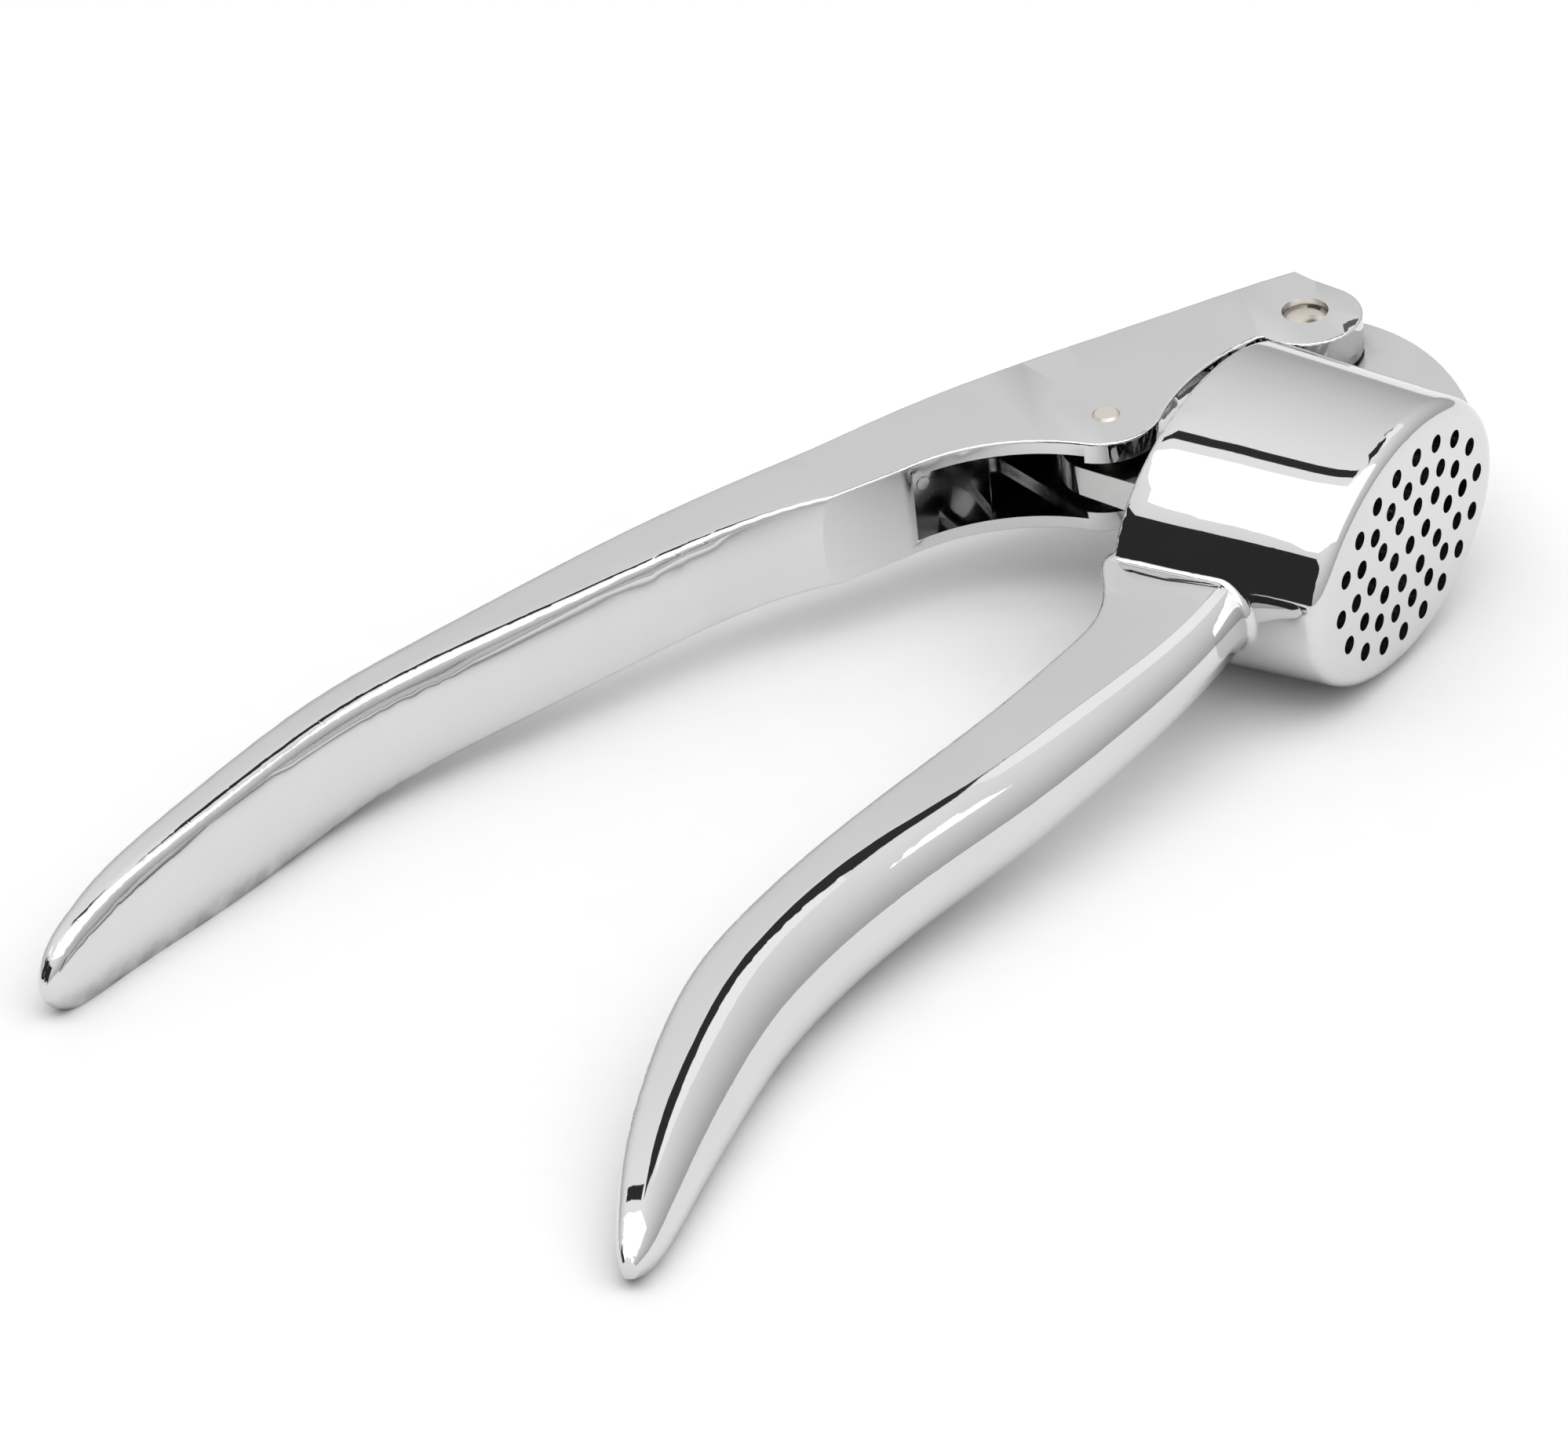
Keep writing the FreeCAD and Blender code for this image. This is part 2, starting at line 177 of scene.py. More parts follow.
@dataclass
class NodeTree:
    """A small wrapper round a node tree, for adding and joining nodes.

    Args:
        tree: The node tree that is written to.
    """

    tree: bpy.types.NodeTree

    def add(self, kind: str, **settings: object) -> bpy.types.Node:
        """Adds a node.

        Args:
            kind: The node's type name.
            settings: Properties set on the node.

        Returns:
            The new node.
        """
        node = self.tree.nodes.new(kind)
        for name, value in settings.items():
            setattr(node, name, value)
        return node

    def feed(self, end: bpy.types.NodeSocket, source: bpy.types.NodeSocket | float | tuple) -> None:
        """Joins an output to an input, or sets the input to a constant.

        Args:
            end: The input.
            source: The output, number or colour that feeds it.
        """
        if isinstance(source, bpy.types.NodeSocket):
            self.tree.links.new(source, end)
        else:
            end.default_value = source

    def group(self, tree: bpy.types.NodeTree, **values: float) -> bpy.types.NodeSocket:
        """Adds a node group.

        Args:
            tree: The group's own tree.
            values: Constant values for its inputs, by name.

        Returns:
            The group's output.
        """
        node = self.add("ShaderNodeGroup", node_tree=tree)
        for name, value in values.items():
            node.inputs[name].default_value = value
        return node.outputs[0]

    def noise(self, grain: Grain) -> bpy.types.NodeSocket:
        """Adds a noise pattern.

        Args:
            grain: The pattern.

        Returns:
            The pattern's value, from 0 to 1.
        """
        place = self.add("ShaderNodeTexCoord")
        mapping = self.add("ShaderNodeMapping")
        texture = self.add("ShaderNodeTexNoise")
        self.feed(mapping.inputs["Scale"], grain.stretch)
        self.feed(texture.inputs["Scale"], grain.scale)
        self.feed(texture.inputs["Detail"], grain.detail)
        self.feed(mapping.inputs["Vector"], place.outputs["Object"])
        self.feed(texture.inputs["Vector"], mapping.outputs["Vector"])
        return texture.outputs["Fac"]

    def ramp(self, source: bpy.types.NodeSocket, span: Span) -> bpy.types.NodeSocket:
        """Maps a value from one range onto another, clamped.

        Args:
            source: The value that is mapped.
            span: The two ranges.

        Returns:
            The mapped value.
        """
        node = self.add("ShaderNodeMapRange")
        self.feed(node.inputs["From Min"], span.low)
        self.feed(node.inputs["From Max"], span.high)
        self.feed(node.inputs["To Min"], span.start)
        self.feed(node.inputs["To Max"], span.end)
        self.feed(node.inputs["Value"], source)
        return node.outputs["Result"]

    def maths(self, operation: str, *sources: bpy.types.NodeSocket | float) -> bpy.types.NodeSocket:
        """Adds a math node.

        Args:
            operation: The name of the operation.
            sources: What goes in, in order.

        Returns:
            The result.
        """
        node = self.add("ShaderNodeMath", operation=operation)
        for place, source in enumerate(sources):
            self.feed(node.inputs[place], source)
        return node.outputs[0]

    def mix(
        self,
        share: bpy.types.NodeSocket,
        first: bpy.types.NodeSocket | tuple,
        second: bpy.types.NodeSocket | tuple,
    ) -> bpy.types.NodeSocket:
        """Blends two colours.

        Args:
            share: The share of the second colour.
            first: The first colour, with alpha, or the output that gives it.
            second: The second colour, with alpha, or the output that gives it.

        Returns:
            The blended colour.
        """
        node = self.add("ShaderNodeMix", data_type="RGBA")
        self.feed(node.inputs["Factor"], share)
        self.feed(node.inputs["A"], first)
        self.feed(node.inputs["B"], second)
        return node.outputs["Result"]


def new_group(
    name: str, inputs: tuple[str, ...], output: str, kind: Output
) -> tuple[NodeTree, bpy.types.Node, bpy.types.Node]:
    """Starts a shader node group with number inputs and one output.

    Args:
        name: The group's name.
        inputs: The names of its inputs.
        output: The name of its output.
        kind: What it puts out.

    Returns:
        The wrapped tree, its input node and its output node.
    """
    tree = bpy.data.node_groups.new(name, "ShaderNodeTree")
    for label in inputs:
        tree.interface.new_socket(label, in_out="INPUT", socket_type=Output.NUMBER.value)
    tree.interface.new_socket(output, in_out="OUTPUT", socket_type=kind.value)
    nodes = NodeTree(tree)
    return nodes, nodes.add("NodeGroupInput"), nodes.add("NodeGroupOutput")


def new_material(name: str) -> tuple[bpy.types.Material, NodeTree, bpy.types.Node]:
    """Starts a material.

    Args:
        name: The material's name.

    Returns:
        The material, its wrapped node tree and its shader node.
    """
    material = bpy.data.materials.new(name)
    material.use_nodes = True
    return material, NodeTree(material.node_tree), material.node_tree.nodes["Principled BSDF"]


# ---------------------------------------------------------------- shared effects
HAZE_CLOUDS = Grain(scale=38, detail=4)
HAZE_EDGE = Span(0.42, 0.68)
SMEARS = Grain(scale=150, detail=6, stretch=(0.35, 1.0, 1.6))
SMEAR_EDGE = Span(0.56, 0.72)


def haze_group() -> bpy.types.NodeTree:
    """Roughness of a handled mirror plate: clear areas, faint haze and small smears.

    Returns:
        The group, with inputs Base, Haze and Smear and an output Roughness.
    """
    nodes, entry, leave = new_group(
        "PlateHaze", ("Base", "Haze", "Smear"), "Roughness", Output.NUMBER
    )
    clouds = nodes.ramp(nodes.noise(HAZE_CLOUDS), HAZE_EDGE)
    smears = nodes.ramp(nodes.noise(SMEARS), SMEAR_EDGE)
    hazed = nodes.maths("MULTIPLY_ADD", clouds, entry.outputs["Haze"], entry.outputs["Base"])
    smeared = nodes.maths("MULTIPLY_ADD", smears, entry.outputs["Smear"], hazed)
    nodes.feed(leave.inputs["Roughness"], smeared)
    return nodes.tree


@dataclass(frozen=True)
class Relief:
    """One layer of the surface relief of a plated casting.

    Args:
        label: The group input that sets its strength.
        grain: Its pattern.
        depth_mm: Its depth at full strength.
    """

    label: str
    grain: Grain
    depth_mm: float


RELIEFS = (
    Relief("Wave", Grain(scale=95, detail=1), 0.35),
    Relief("Pit", Grain(scale=1900, detail=3), 0.05),
    Relief("Line", Grain(scale=900, detail=2, stretch=(0.06, 1.0, 1.0)), 0.03),
)


def relief_group() -> bpy.types.NodeTree:
    """Normals of a cast part under plate: slow waves, fine pits and polishing lines.

    Returns:
        The group, with inputs Wave, Pit and Line and an output Normal.
    """
    labels = tuple(relief.label for relief in RELIEFS)
    nodes, entry, leave = new_group("CastRelief", labels, "Normal", Output.DIRECTION)
    below = None
    for relief in RELIEFS:
        bump = nodes.add("ShaderNodeBump")
        nodes.feed(bump.inputs["Distance"], relief.depth_mm * MM)
        nodes.feed(bump.inputs["Height"], nodes.noise(relief.grain))
        nodes.feed(bump.inputs["Strength"], entry.outputs[relief.label])
        if below is not None:
            nodes.feed(bump.inputs["Normal"], below)
        below = bump.outputs["Normal"]
    nodes.feed(leave.inputs["Normal"], below)
    return nodes.tree


# Painted shade in corners and holes: ambient occlusion sets where the colour darkens, and noise
# breaks it up.
CORNER_SHADE_RAYS = 6
CORNER_SHADE_DEPTH = Span(0.25, 0.85, 1.0, 0.0)
CORNER_SHADE_BREAKS = Grain(scale=420, detail=4)
CORNER_SHADE_BREAK_EDGE = Span(0.3, 0.65, 0.35, 1.0)


def corner_shade_group() -> bpy.types.NodeTree:
    """A painted-shade mask: strong in corners and holes where ambient occlusion finds shade, broken
    up by noise.

    Returns:
        The group, with inputs Reach and Amount and an output Mask.
    """
    nodes, entry, leave = new_group("PaintedCornerShade", ("Reach", "Amount"), "Mask", Output.NUMBER)
    corner = nodes.add("ShaderNodeAmbientOcclusion", samples=CORNER_SHADE_RAYS, only_local=False)
    nodes.feed(corner.inputs["Distance"], entry.outputs["Reach"])
    closed = nodes.ramp(corner.outputs["AO"], CORNER_SHADE_DEPTH)
    breaks = nodes.ramp(nodes.noise(CORNER_SHADE_BREAKS), CORNER_SHADE_BREAK_EDGE)
    broken = nodes.maths("MULTIPLY", closed, breaks)
    nodes.feed(leave.inputs["Mask"], nodes.maths("MULTIPLY", broken, entry.outputs["Amount"]))
    return nodes.tree


@dataclass
class Effects:
    """The node groups that the finishes share."""

    haze: bpy.types.NodeTree = field(default_factory=haze_group)
    relief: bpy.types.NodeTree = field(default_factory=relief_group)
    painted_shade: bpy.types.NodeTree = field(default_factory=corner_shade_group)


# ---------------------------------------------------------------- finishes
TINT_CLOUDS = Grain(scale=55, detail=3)
TINT_EDGE = Span(0.4, 0.7)
# The near-black that the painted corner shade blends towards, and the roughness that it adds.
CORNER_SHADE_COLOUR = (0.10, 0.095, 0.09, 1.0)
CORNER_SHADE_ROUGHNESS = 0.35


@dataclass(frozen=True)
class MetalFinish:
    """A metal surface and its wear.

    Args:
        name: The material's name.
        colour: Reflection colour where the metal is clean.
        cloudy: Reflection colour where it is slightly hazed.
        roughness: Roughness where it is clean.
        haze: Extra roughness of hazed areas.
        smear: Extra roughness of smears.
        pit: Strength of fine pits.
        line: Strength of polishing lines.
        painted_shade: Amount of shade painted into corners, which darkens the colour and adds
            roughness.
        wave: Strength of the slow waves of the casting.
        anisotropy: How much the polishing direction stretches highlights.
        reach_mm: How deep a corner has to be to get painted shade.
    """

    name: str
    colour: Triple
    cloudy: Triple
    roughness: float
    haze: float
    smear: float
    pit: float
    line: float
    painted_shade: float
    wave: float = 0.08
    anisotropy: float = 0.0
    reach_mm: float = 1.5

    def build(self, effects: Effects) -> bpy.types.Material:
        """Makes the material, or finds it if it is already made.

        Args:
            effects: The shared node groups.

        Returns:
            The material.
        """
        if self.name in bpy.data.materials:
            return bpy.data.materials[self.name]
        material, nodes, shader = new_material(self.name)
        shader.inputs["Metallic"].default_value = 1.0
        shader.inputs["Anisotropic"].default_value = self.anisotropy
        clouds = nodes.ramp(nodes.noise(TINT_CLOUDS), TINT_EDGE)
        tint = nodes.mix(clouds, (*self.colour, 1.0), (*self.cloudy, 1.0))
        # Painted shade: corners and holes darken towards near-black and get rougher.
        shade_mask = nodes.group(effects.painted_shade, Reach=self.reach_mm * MM, Amount=self.painted_shade)
        nodes.feed(shader.inputs["Base Color"], nodes.mix(shade_mask, tint, CORNER_SHADE_COLOUR))
        haze = nodes.group(effects.haze, Base=self.roughness, Haze=self.haze, Smear=self.smear)
        rough = nodes.maths("MULTIPLY_ADD", shade_mask, CORNER_SHADE_ROUGHNESS, haze)
        nodes.feed(shader.inputs["Roughness"], rough)
        relief = nodes.group(effects.relief, Wave=self.wave, Pit=self.pit, Line=self.line)
        nodes.feed(shader.inputs["Normal"], relief)
        return material


CHROME = MetalFinish(
    name="mirror_chrome",
    colour=(0.705, 0.707, 0.71),
    cloudy=(0.69, 0.69, 0.69),
    roughness=0.02,
    haze=0.012,
    smear=0.02,
    wave=0.006,
    pit=0.004,
    line=0.004,
    painted_shade=0.85,
    reach_mm=5.0,
)
PLUNGER_CHROME = MetalFinish(
    name="satin_chrome",
    colour=(0.66, 0.66, 0.655),
    cloudy=(0.61, 0.61, 0.60),
    roughness=0.09,
    haze=0.07,
    smear=0.06,
    pit=0.08,
    line=0.05,
    painted_shade=0.45,
)
RIVET_STEEL = MetalFinish(
    name="rivet_steel",
    colour=(0.70, 0.655, 0.585),
    cloudy=(0.62, 0.565, 0.49),
    roughness=0.16,
    haze=0.10,
    smear=0.08,
    pit=0.15,
    line=0.12,
    painted_shade=0.5,
    anisotropy=0.3,
)
PIN_STEEL = MetalFinish(
    name="pin_steel",
    colour=(0.74, 0.66, 0.55),
    cloudy=(0.66, 0.57, 0.46),
    roughness=0.22,
    haze=0.12,
    smear=0.08,
    pit=0.2,
    line=0.15,
    painted_shade=0.5,
    anisotropy=0.2,
)


# ---------------------------------------------------------------- even normals
# How fast a facet's share in a fit falls as it turns from the vertex's own normal.
KEPT_TURN = math.radians(9.0)
# How strongly the fitted slopes are held back, as a share of the facets' weight.
SLOPE_RIDGE = 0.002
# Less weight than this is none.
SMALLEST_WEIGHT = 1e-9
# Beside a facet larger than this, in square millimetres, nothing is fitted.
LARGE_FACET = 5.0
# The face layer that marks the large plane faces.
FLAT_LAYER = "flat"


@dataclass
class Facets:
    """The facets of a mesh as arrays.

    Args:
        centres: Their centres in millimetres.
        normals: Their normals.
        areas: Their areas in square millimetres.
    """

    centres: np.ndarray
    normals: np.ndarray
    areas: np.ndarray

    @classmethod
    def of(cls, mesh: bmesh.types.BMesh) -> "Facets":
        """Reads the facets of a mesh.

        Args:
            mesh: The mesh.

        Returns:
            Its facets.
        """
        return cls(
            np.array([face.calc_center_median() / MM for face in mesh.faces]),
            np.array([face.normal for face in mesh.faces]),
            np.array([face.calc_area() / MM / MM for face in mesh.faces]),
        )

    def fit(self, ring: list[int], vert: bmesh.types.BMVert) -> Vector:
        """Fits the normals of some facets and reads the fit at a vertex.

        Args:
            ring: The facets round the vertex.
            vert: The vertex.

        Returns:
            The fitted normal.
        """
        near = [face.index for face in vert.link_faces]
        own = (self.areas[near][:, None] * self.normals[near]).sum(axis=0)
        own /= max(float(np.linalg.norm(own)), SMALLEST_WEIGHT)
        if self.areas[near].max() > LARGE_FACET:
            return Vector(own)
        turn = np.arccos(np.clip(self.normals[ring] @ own, -1, 1)) / KEPT_TURN
        share = (self.areas[ring] * np.exp(-turn * turn))[:, None]
        weight = float(share.sum())
        if weight < SMALLEST_WEIGHT:
            return Vector(own)
        apart = self.centres[ring] - np.array(vert.co) / MM
        terms = np.hstack((np.ones((len(ring), 1)), apart))
        ridge = np.diag([0.0, 1.0, 1.0, 1.0]) * SLOPE_RIDGE * weight
        square = terms.T @ (share * terms) + ridge
        fitted = np.linalg.solve(square, terms.T @ (share * self.normals[ring]))
        return Vector(fitted[0]).normalized()


@dataclass
class EvenNormals:
    """Corner normals that run evenly over curved faces and stay square on flat ones.

    A curved face is made of many small facets of uneven shape. The normal of each vertex
    is the value there of a straight-line fit through the normals of the facets round it.

    Args:
        sharp_deg: Edges that turn more than this part the surface.
    """

    sharp_deg: float

    def of(self, mesh: bmesh.types.BMesh) -> list[Vector]:
        """Finds the normal of every corner.

        Args:
            mesh: The closed mesh, with its large plane faces marked in FLAT_LAYER.

        Returns:
            One normal for each corner, in the order of the faces.
        """
        parted = self.part(mesh)
        flat = parted.faces.layers.int[FLAT_LAYER]
        facets = Facets.of(parted)
        normals = [self.at(vert, flat, facets) for vert in parted.verts]
        corners = [normals[loop.vert.index] for face in parted.faces for loop in face.loops]
        parted.free()
        return corners

    def part(self, mesh: bmesh.types.BMesh) -> bmesh.types.BMesh:
        """Copies a mesh and parts the copy along its sharp edges.

        Args:
            mesh: The mesh.

        Returns:
            The parted copy.
        """
        parted = mesh.copy()
        limit = math.radians(self.sharp_deg)
        sharp = [
            edge
            for edge in parted.edges
            if not edge.is_manifold or edge.calc_face_angle(0.0) > limit
        ]
        bmesh.ops.split_edges(parted, edges=sharp)
        parted.normal_update()
        parted.verts.index_update()
        parted.faces.index_update()
        return parted

    @staticmethod
    def at(vert: bmesh.types.BMVert, flat: bmesh.types.BMLayerItem, facets: Facets) -> Vector:
        """Finds the normal of one vertex of a parted mesh.

        Args:
            vert: The vertex.
            flat: The layer that marks the large plane faces.
            facets: The facets of the parted mesh.

        Returns:
            The plane face's normal beside such a face, and otherwise the fitted one.
        """
        held = [face for face in vert.link_faces if face[flat]]
        if held:
            return held[0].normal.copy()
        ring = {
            near.index
            for face in vert.link_faces
            for corner in face.verts
            for near in corner.link_faces
            if not near[flat]
        }
        return facets.fit(sorted(ring), vert)


# ---------------------------------------------------------------- pieces of the press
# A face is large and plane if it has more corners than this, at least this area, and no
# corner further than this from its plane.
FLAT_CORNERS = 12
FLAT_AREA = 10 * MM * MM
FLAT_WITHIN = 0.0006 * MM
# Vertices closer than this are one, and faces that turn less than this are merged.
MERGE_WITHIN = 0.001 * MM
MERGE_TURN = math.radians(0.02)
EDGE_SEGMENTS = 2
MARK_SEGMENTS = 40


def is_flat(face: bmesh.types.BMFace) -> bool:
    """Tells a large plane face from the facets of a curved one.

    Args:
        face: The face.

    Returns:
        True if it is a large plane face.
    """
    if len(face.verts) <= FLAT_CORNERS or face.calc_area() < FLAT_AREA:
        return False
    level = face.verts[0].co.dot(face.normal)
    return all(abs(vert.co.dot(face.normal) - level) < FLAT_WITHIN for vert in face.verts)


@dataclass
class CastPiece:
    """A CAD node shown through a merged copy of its mesh with softened edges.

    Args:
        node: The CAD node that the piece stands for.
        body: The body that it rides on.
        slot: The record's material slot; not used.
        finish: Its surface.
        edge_mm: Width of the softened edges.
        sharp_deg: Edges that turn more than this are softened.
    """

    node: str
    body: Body
    slot: Slot
    finish: MetalFinish
    edge_mm: float = 0.12
    sharp_deg: float = 28.0

    def build(self) -> bpy.types.Object:
        """Copies and cleans the CAD mesh.

        Returns:
            The new object, at the origin.
        """
        cleaned = bmesh.new()
        cleaned.from_mesh(frame["nodes"][self.node].data)
        bmesh.ops.remove_doubles(cleaned, verts=cleaned.verts, dist=MERGE_WITHIN)
        bmesh.ops.dissolve_degenerate(cleaned, edges=cleaned.edges, dist=MERGE_WITHIN)
        bmesh.ops.dissolve_limit(
            cleaned,
            angle_limit=MERGE_TURN,
            verts=cleaned.verts,
            edges=cleaned.edges,
            use_dissolve_boundaries=False,
            delimit={"NORMAL"},
        )
        bmesh.ops.recalc_face_normals(cleaned, faces=cleaned.faces)
        flat = cleaned.faces.layers.int.new(FLAT_LAYER)
        for face in cleaned.faces:
            face.smooth = True
            face[flat] = is_flat(face)
        corners = EvenNormals(self.sharp_deg).of(cleaned)
        shown = add_object(self.node + "_skin", cleaned)
        shown.data.set_sharp_from_angle(angle=math.radians(self.sharp_deg))
        shown.data.normals_split_custom_set(corners)
        return shown

    def dress(self, shown: bpy.types.Object, effects: Effects) -> None:
        """Adds the softened edges and the material.

        Args:
            shown: The object that build() made.
            effects: The shared node groups.
        """
        soft = shown.modifiers.new("soft_edges", "BEVEL")
        soft.width = self.edge_mm * MM
        soft.segments = EDGE_SEGMENTS
        soft.limit_method = "ANGLE"
        soft.angle_limit = math.radians(self.sharp_deg)
        soft.use_clamp_overlap = True
        soft.harden_normals = True
        soft.miter_outer = "MITER_ARC"
        shown.data.materials.append(self.finish.build(effects))
        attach(shown, self.body.value)
        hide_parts(self.node)


@dataclass
class EjectorMark:
    """The low round mark that the mould's ejector pin left on the floor of the pocket.

    Args:
        centre_mm: Its centre from the hinge.
        facing: The direction that the floor faces.
        radius_mm: Its radius.
        rise_mm: How far it stands above the floor.
        sunk_mm: How far it reaches into the casting.
    """

    centre_mm: Triple = (35.9, -27.66, -2.75)
    facing: Triple = (0.44, 0.90, 0.0)
    radius_mm: float = 0.85
    rise_mm: float = 0.09
    sunk_mm: float = 0.3

    def build(self) -> bpy.types.Object:
        """Makes the mark.

        Returns:
            The new object, at the origin.
        """
        shape = bmesh.new()
        bmesh.ops.create_cone(
            shape,
            cap_ends=True,
            segments=MARK_SEGMENTS,
            radius1=self.radius_mm * MM,
            radius2=(self.radius_mm - self.rise_mm) * MM,
            depth=(self.rise_mm + self.sunk_mm) * MM,
        )
        axis = Vector(self.facing).normalized()
        centre = from_hinge(*self.centre_mm) + axis * (self.rise_mm - self.sunk_mm) / 2 * MM
        place = Matrix.Translation(centre) @ turn_onto(axis)
        bmesh.ops.transform(shape, matrix=place, verts=shape.verts)
        return add_object("ejector_mark", shape)

    def dress(self, shown: bpy.types.Object, effects: Effects) -> None:
        """Gives the mark the surface of the lever.

        Args:
            shown: The object that build() made.
            effects: The shared node groups.
        """
        shown.data.materials.append(CHROME.build(effects))
        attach(shown, Body.LEVER.value)


PIECES = (
    CastPiece("body_casting", Body.BODY, Slot.CASTING, CHROME),
    CastPiece("lever_casting", Body.LEVER, Slot.CASTING, CHROME, edge_mm=0.15),
    CastPiece("plunger", Body.PLUNGER, Slot.PLUNGER, PLUNGER_CHROME),
    CastPiece("hinge_rivet", Body.LEVER, Slot.STEEL, RIVET_STEEL, edge_mm=0.06),
    CastPiece("plunger_pin", Body.LEVER, Slot.STEEL, PIN_STEEL, edge_mm=0.04),
    EjectorMark(),
)


# ---------------------------------------------------------------- studio
FLOOR_REACH = 4.0
PAPER_GRAIN = Grain(scale=220, detail=5)
PAPER_DARK = (0.90, 0.90, 0.90, 1.0)
PAPER_PALE = (0.93, 0.93, 0.93, 1.0)
PAPER_ROUGHNESS = 0.6
PAPER_SPECULAR = 0.2
SKY = Span(0.0, 0.9, 0.50, 1.05)
SENSOR_MM = 36.0
NEAREST = 0.01
FURTHEST = 50.0


@dataclass
class Card:
    """A flat panel of the studio that the camera doesn't see and that casts no shadow.

    Args:
        name: The panel's name.
        azimuth: Its direction from the press, in degrees from +X towards +Y.
        elevation: Its direction above the floor, in degrees.
        distance_mm: Its distance from the aim point.
        size_mm: Its width and height.
        strength: Its brightness; 0 is black.
        aim_mm: The point that it faces, from the hinge.
        along: The direction in space that its width follows, or None for a level one.
    """

    name: str
    azimuth: float
    elevation: float
    distance_mm: float
    size_mm: tuple[float, float]
    strength: float
    aim_mm: Triple = (50.0, 0.0, 0.0)
    along: Triple | None = None

    def placement(self) -> Matrix:
        """Finds where the panel stands.

        Returns:
            The matrix that takes a flat panel at the origin to its place.
        """
        azimuth = math.radians(self.azimuth)
        elevation = math.radians(self.elevation)
        level = math.cos(elevation)
        away = Vector((math.cos(azimuth) * level, math.sin(azimuth) * level, math.sin(elevation)))
        across = Vector(self.along or (-math.sin(azimuth), math.cos(azimuth), 0))
        across = (across - away * across.dot(away)).normalized()
        upward = across.cross(away)
        turn = Matrix((across, upward, across.cross(upward))).transposed().to_4x4()
        return Matrix.Translation(from_hinge(*self.aim_mm) + away * self.distance_mm * MM) @ turn

    def build(self) -> None:
        """Makes the panel."""
        shape = bmesh.new()
        bmesh.ops.create_grid(shape, x_segments=1, y_segments=1, size=0.5)
        width, height = self.size_mm
        bmesh.ops.scale(shape, vec=(width * MM, height * MM, 1), verts=shape.verts)
        bmesh.ops.transform(shape, matrix=self.placement(), verts=shape.verts)
        panel = add_object(self.name, shape)
        material, nodes, shader = new_material(self.name)
        nodes.tree.nodes.remove(shader)
        glow = nodes.add("ShaderNodeEmission")
        glow.inputs["Strength"].default_value = self.strength
        glow.inputs["Color"].default_value = WHITE
        nodes.feed(nodes.tree.nodes["Material Output"].inputs["Surface"], glow.outputs["Emission"])
        panel.data.materials.append(material)
        panel.visible_camera = False
        panel.visible_shadow = False


SOFTBOX_EDGE = (-0.35, 0.94, 0.0)
CARDS = (
    Card(
        "key_above",
        azimuth=74.0,
        elevation=76.1,
        distance_mm=2060.0,
        size_mm=(3500.0, 1916.0),
        strength=2.0,
        along=SOFTBOX_EDGE,
    ),
    Card(
        "fill_back",
        azimuth=178.0,
        elevation=45.0,
        distance_mm=2700.0,
        size_mm=(1000.0, 800.0),
        strength=1.15,
    ),
    Card(
        "side_dark",
        azimuth=-20.0,
        elevation=20.0,
        distance_mm=1500.0,
        size_mm=(1900.0, 1500.0),
        strength=0.03,
    ),
    Card(
        "strip_dark",
        azimuth=-123.7,
        elevation=63.2,
        distance_mm=2185.0,
        size_mm=(720.0, 165.0),
        strength=0.035,
        along=SOFTBOX_EDGE,
    ),
    Card(
        "streak_dark",
        azimuth=-169.6,
        elevation=56.5,
        distance_mm=2340.0,
        size_mm=(800.0, 540.0),
        strength=0.035,
        along=(0.45, 0.89, 0.0),
    ),
    Card(
        "ridge_dark",
        azimuth=-159.4,
        elevation=40.6,
        distance_mm=2600.0,
        size_mm=(300.0, 130.0),
        strength=0.15,
        along=(0.82, -0.57, 0.0),
    ),
)


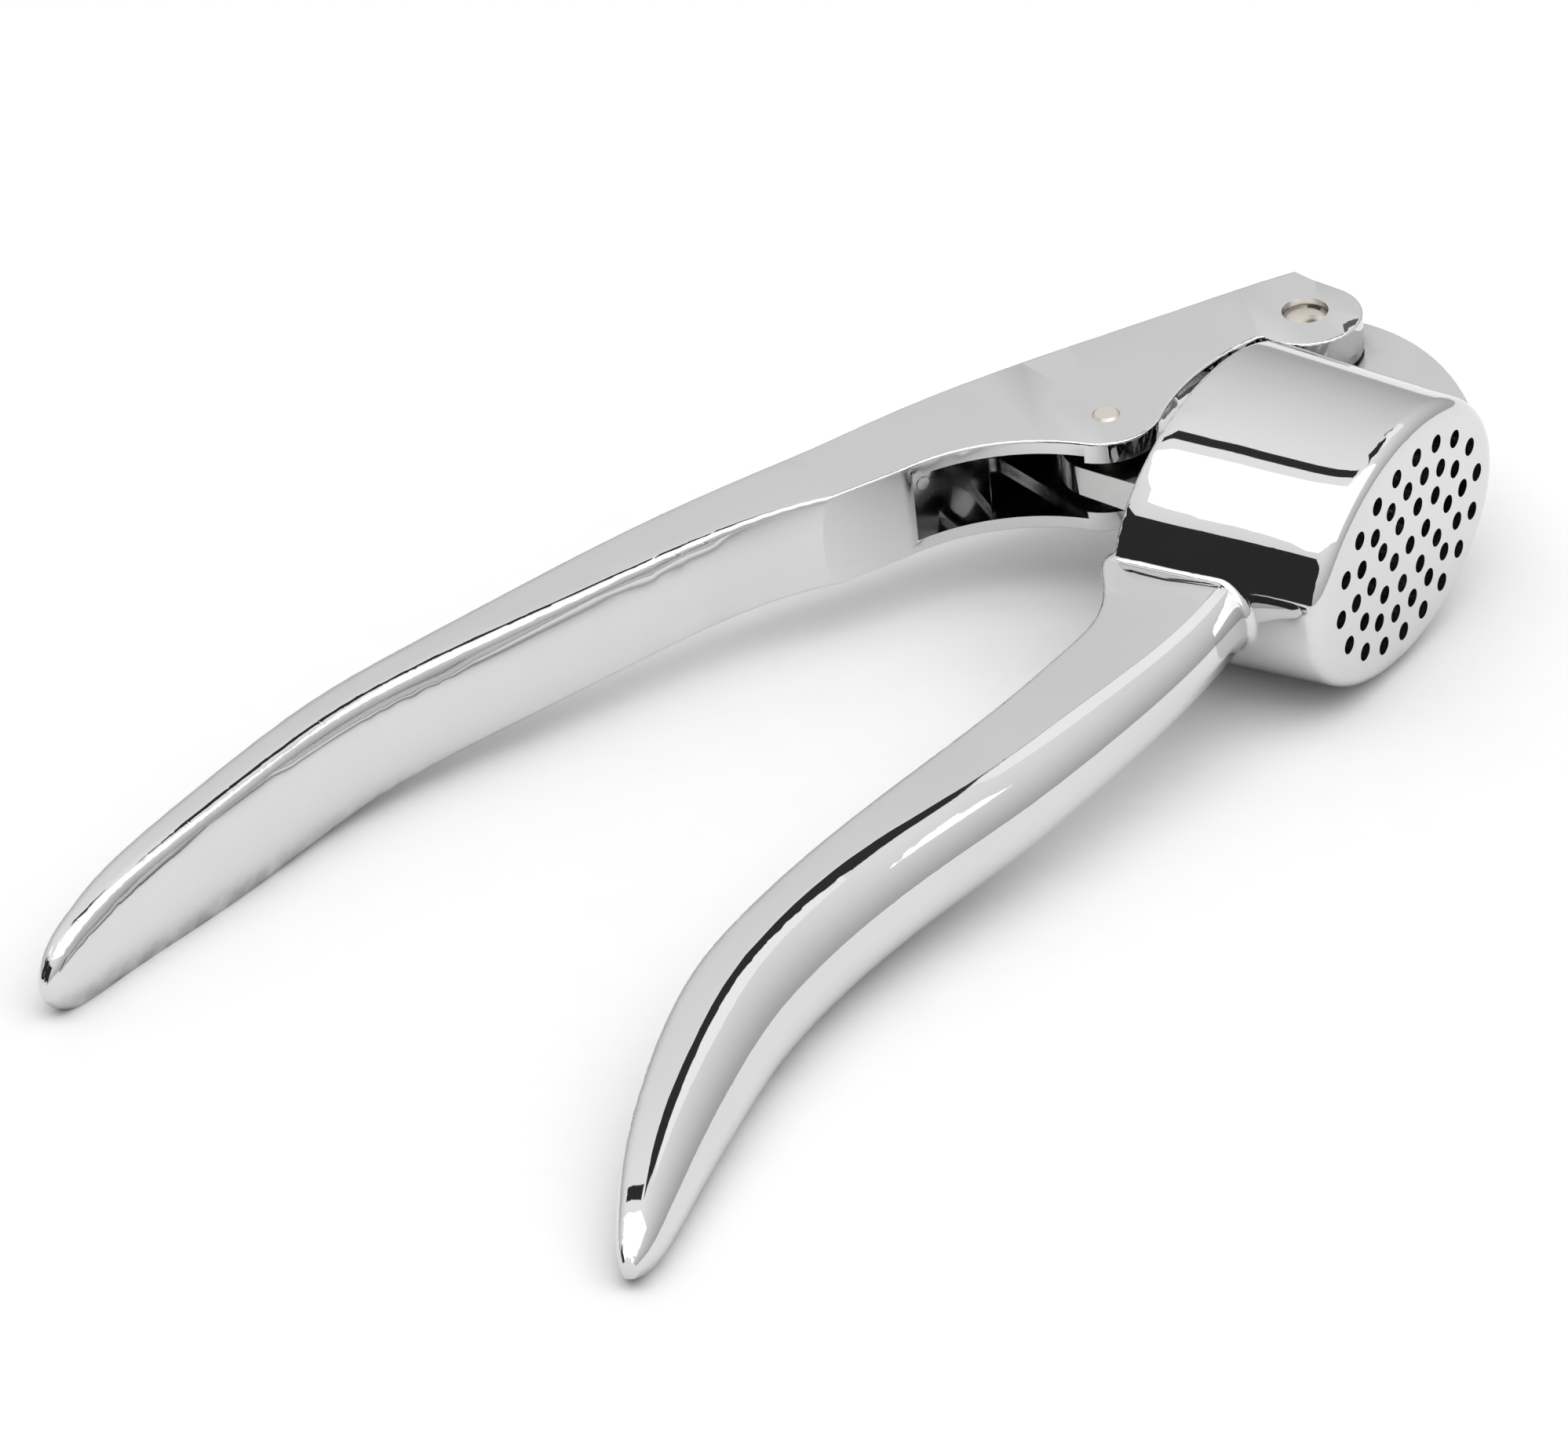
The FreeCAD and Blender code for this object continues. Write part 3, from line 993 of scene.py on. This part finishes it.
@dataclass
class Studio:
    """Floor, light and camera.

    Args:
        floor_rise: The floor's rise per unit along +X and +Y, so that the press rests on it.
        floor_touch_mm: A point of the floor, from the hinge.
        camera_mm: The camera's place from the hinge.
        target_mm: The point on its optical axis, from the hinge.
        roll_deg: The camera's turn about its axis.
        lens_mm: Focal length for a sensor of SENSOR_MM.
        cards: The panels that the chrome reflects.
    """

    floor_rise: tuple[float, float] = (0.091, 0.003)
    floor_touch_mm: Triple = (27.9, 3.5, -14.6)
    camera_mm: Triple = (501.09, 294.22, 371.21)
    target_mm: Triple = (83.1, -15.0, 0.0)
    roll_deg: float = -6.64
    lens_mm: float = 144.14
    cards: tuple[Card, ...] = CARDS

    def build_floor(self) -> None:
        """Makes the pale floor that the press lies on."""
        shape = bmesh.new()
        bmesh.ops.create_grid(shape, x_segments=1, y_segments=1, size=FLOOR_REACH)
        rise_x, rise_y = self.floor_rise
        turn = turn_onto(Vector((-rise_x, -rise_y, 1)))
        place = Matrix.Translation(from_hinge(*self.floor_touch_mm)) @ turn
        bmesh.ops.transform(shape, matrix=place, verts=shape.verts)
        floor = add_object("floor", shape)
        material, nodes, shader = new_material("floor_paper")
        shader.inputs["Roughness"].default_value = PAPER_ROUGHNESS
        shader.inputs["Specular IOR Level"].default_value = PAPER_SPECULAR
        tone = nodes.mix(nodes.noise(PAPER_GRAIN), PAPER_DARK, PAPER_PALE)
        nodes.feed(shader.inputs["Base Color"], tone)
        floor.data.materials.append(material)

    def build_world(self) -> None:
        """Lights the studio from all round, brighter overhead."""
        world = bpy.data.worlds.new("studio")
        bpy.context.scene.world = world
        world.use_nodes = True
        nodes = NodeTree(world.node_tree)
        back = world.node_tree.nodes["Background"]
        place = nodes.add("ShaderNodeTexCoord")
        split = nodes.add("ShaderNodeSeparateXYZ")
        nodes.feed(split.inputs["Vector"], place.outputs["Generated"])
        nodes.feed(back.inputs["Strength"], nodes.ramp(split.outputs["Z"], SKY))
        back.inputs["Color"].default_value = WHITE

    def build_camera(self) -> None:
        """Places the camera."""
        data = bpy.data.cameras.new("camera")
        data.lens = self.lens_mm
        data.sensor_width = SENSOR_MM
        data.clip_start = NEAREST
        data.clip_end = FURTHEST
        camera = bpy.data.objects.new("camera", data)
        bpy.context.scene.collection.objects.link(camera)
        place = from_hinge(*self.camera_mm)
        look = (from_hinge(*self.target_mm) - place).to_track_quat("-Z", "Y")
        roll = Euler((0, 0, math.radians(self.roll_deg))).to_quaternion()
        camera.rotation_mode = "QUATERNION"
        camera.location = place
        camera.rotation_quaternion = look @ roll
        bpy.context.scene.camera = camera

    def build(self) -> None:
        """Makes the whole studio."""
        self.build_floor()
        self.build_world()
        for card in self.cards:
            card.build()
            LOG.info("card %s", card.name)
        self.build_camera()
        bpy.context.scene.view_settings.view_transform = "Standard"


def main() -> None:
    """Builds and dresses every piece, then the studio."""
    logging.basicConfig(level=logging.INFO)
    effects = Effects()
    for piece in PIECES:
        shown = piece.build()
        piece.dress(shown, effects)
        LOG.info("piece %s with %d faces", shown.name, len(shown.data.polygons))
    Studio().build()


if __name__ == "__main__":
    main()
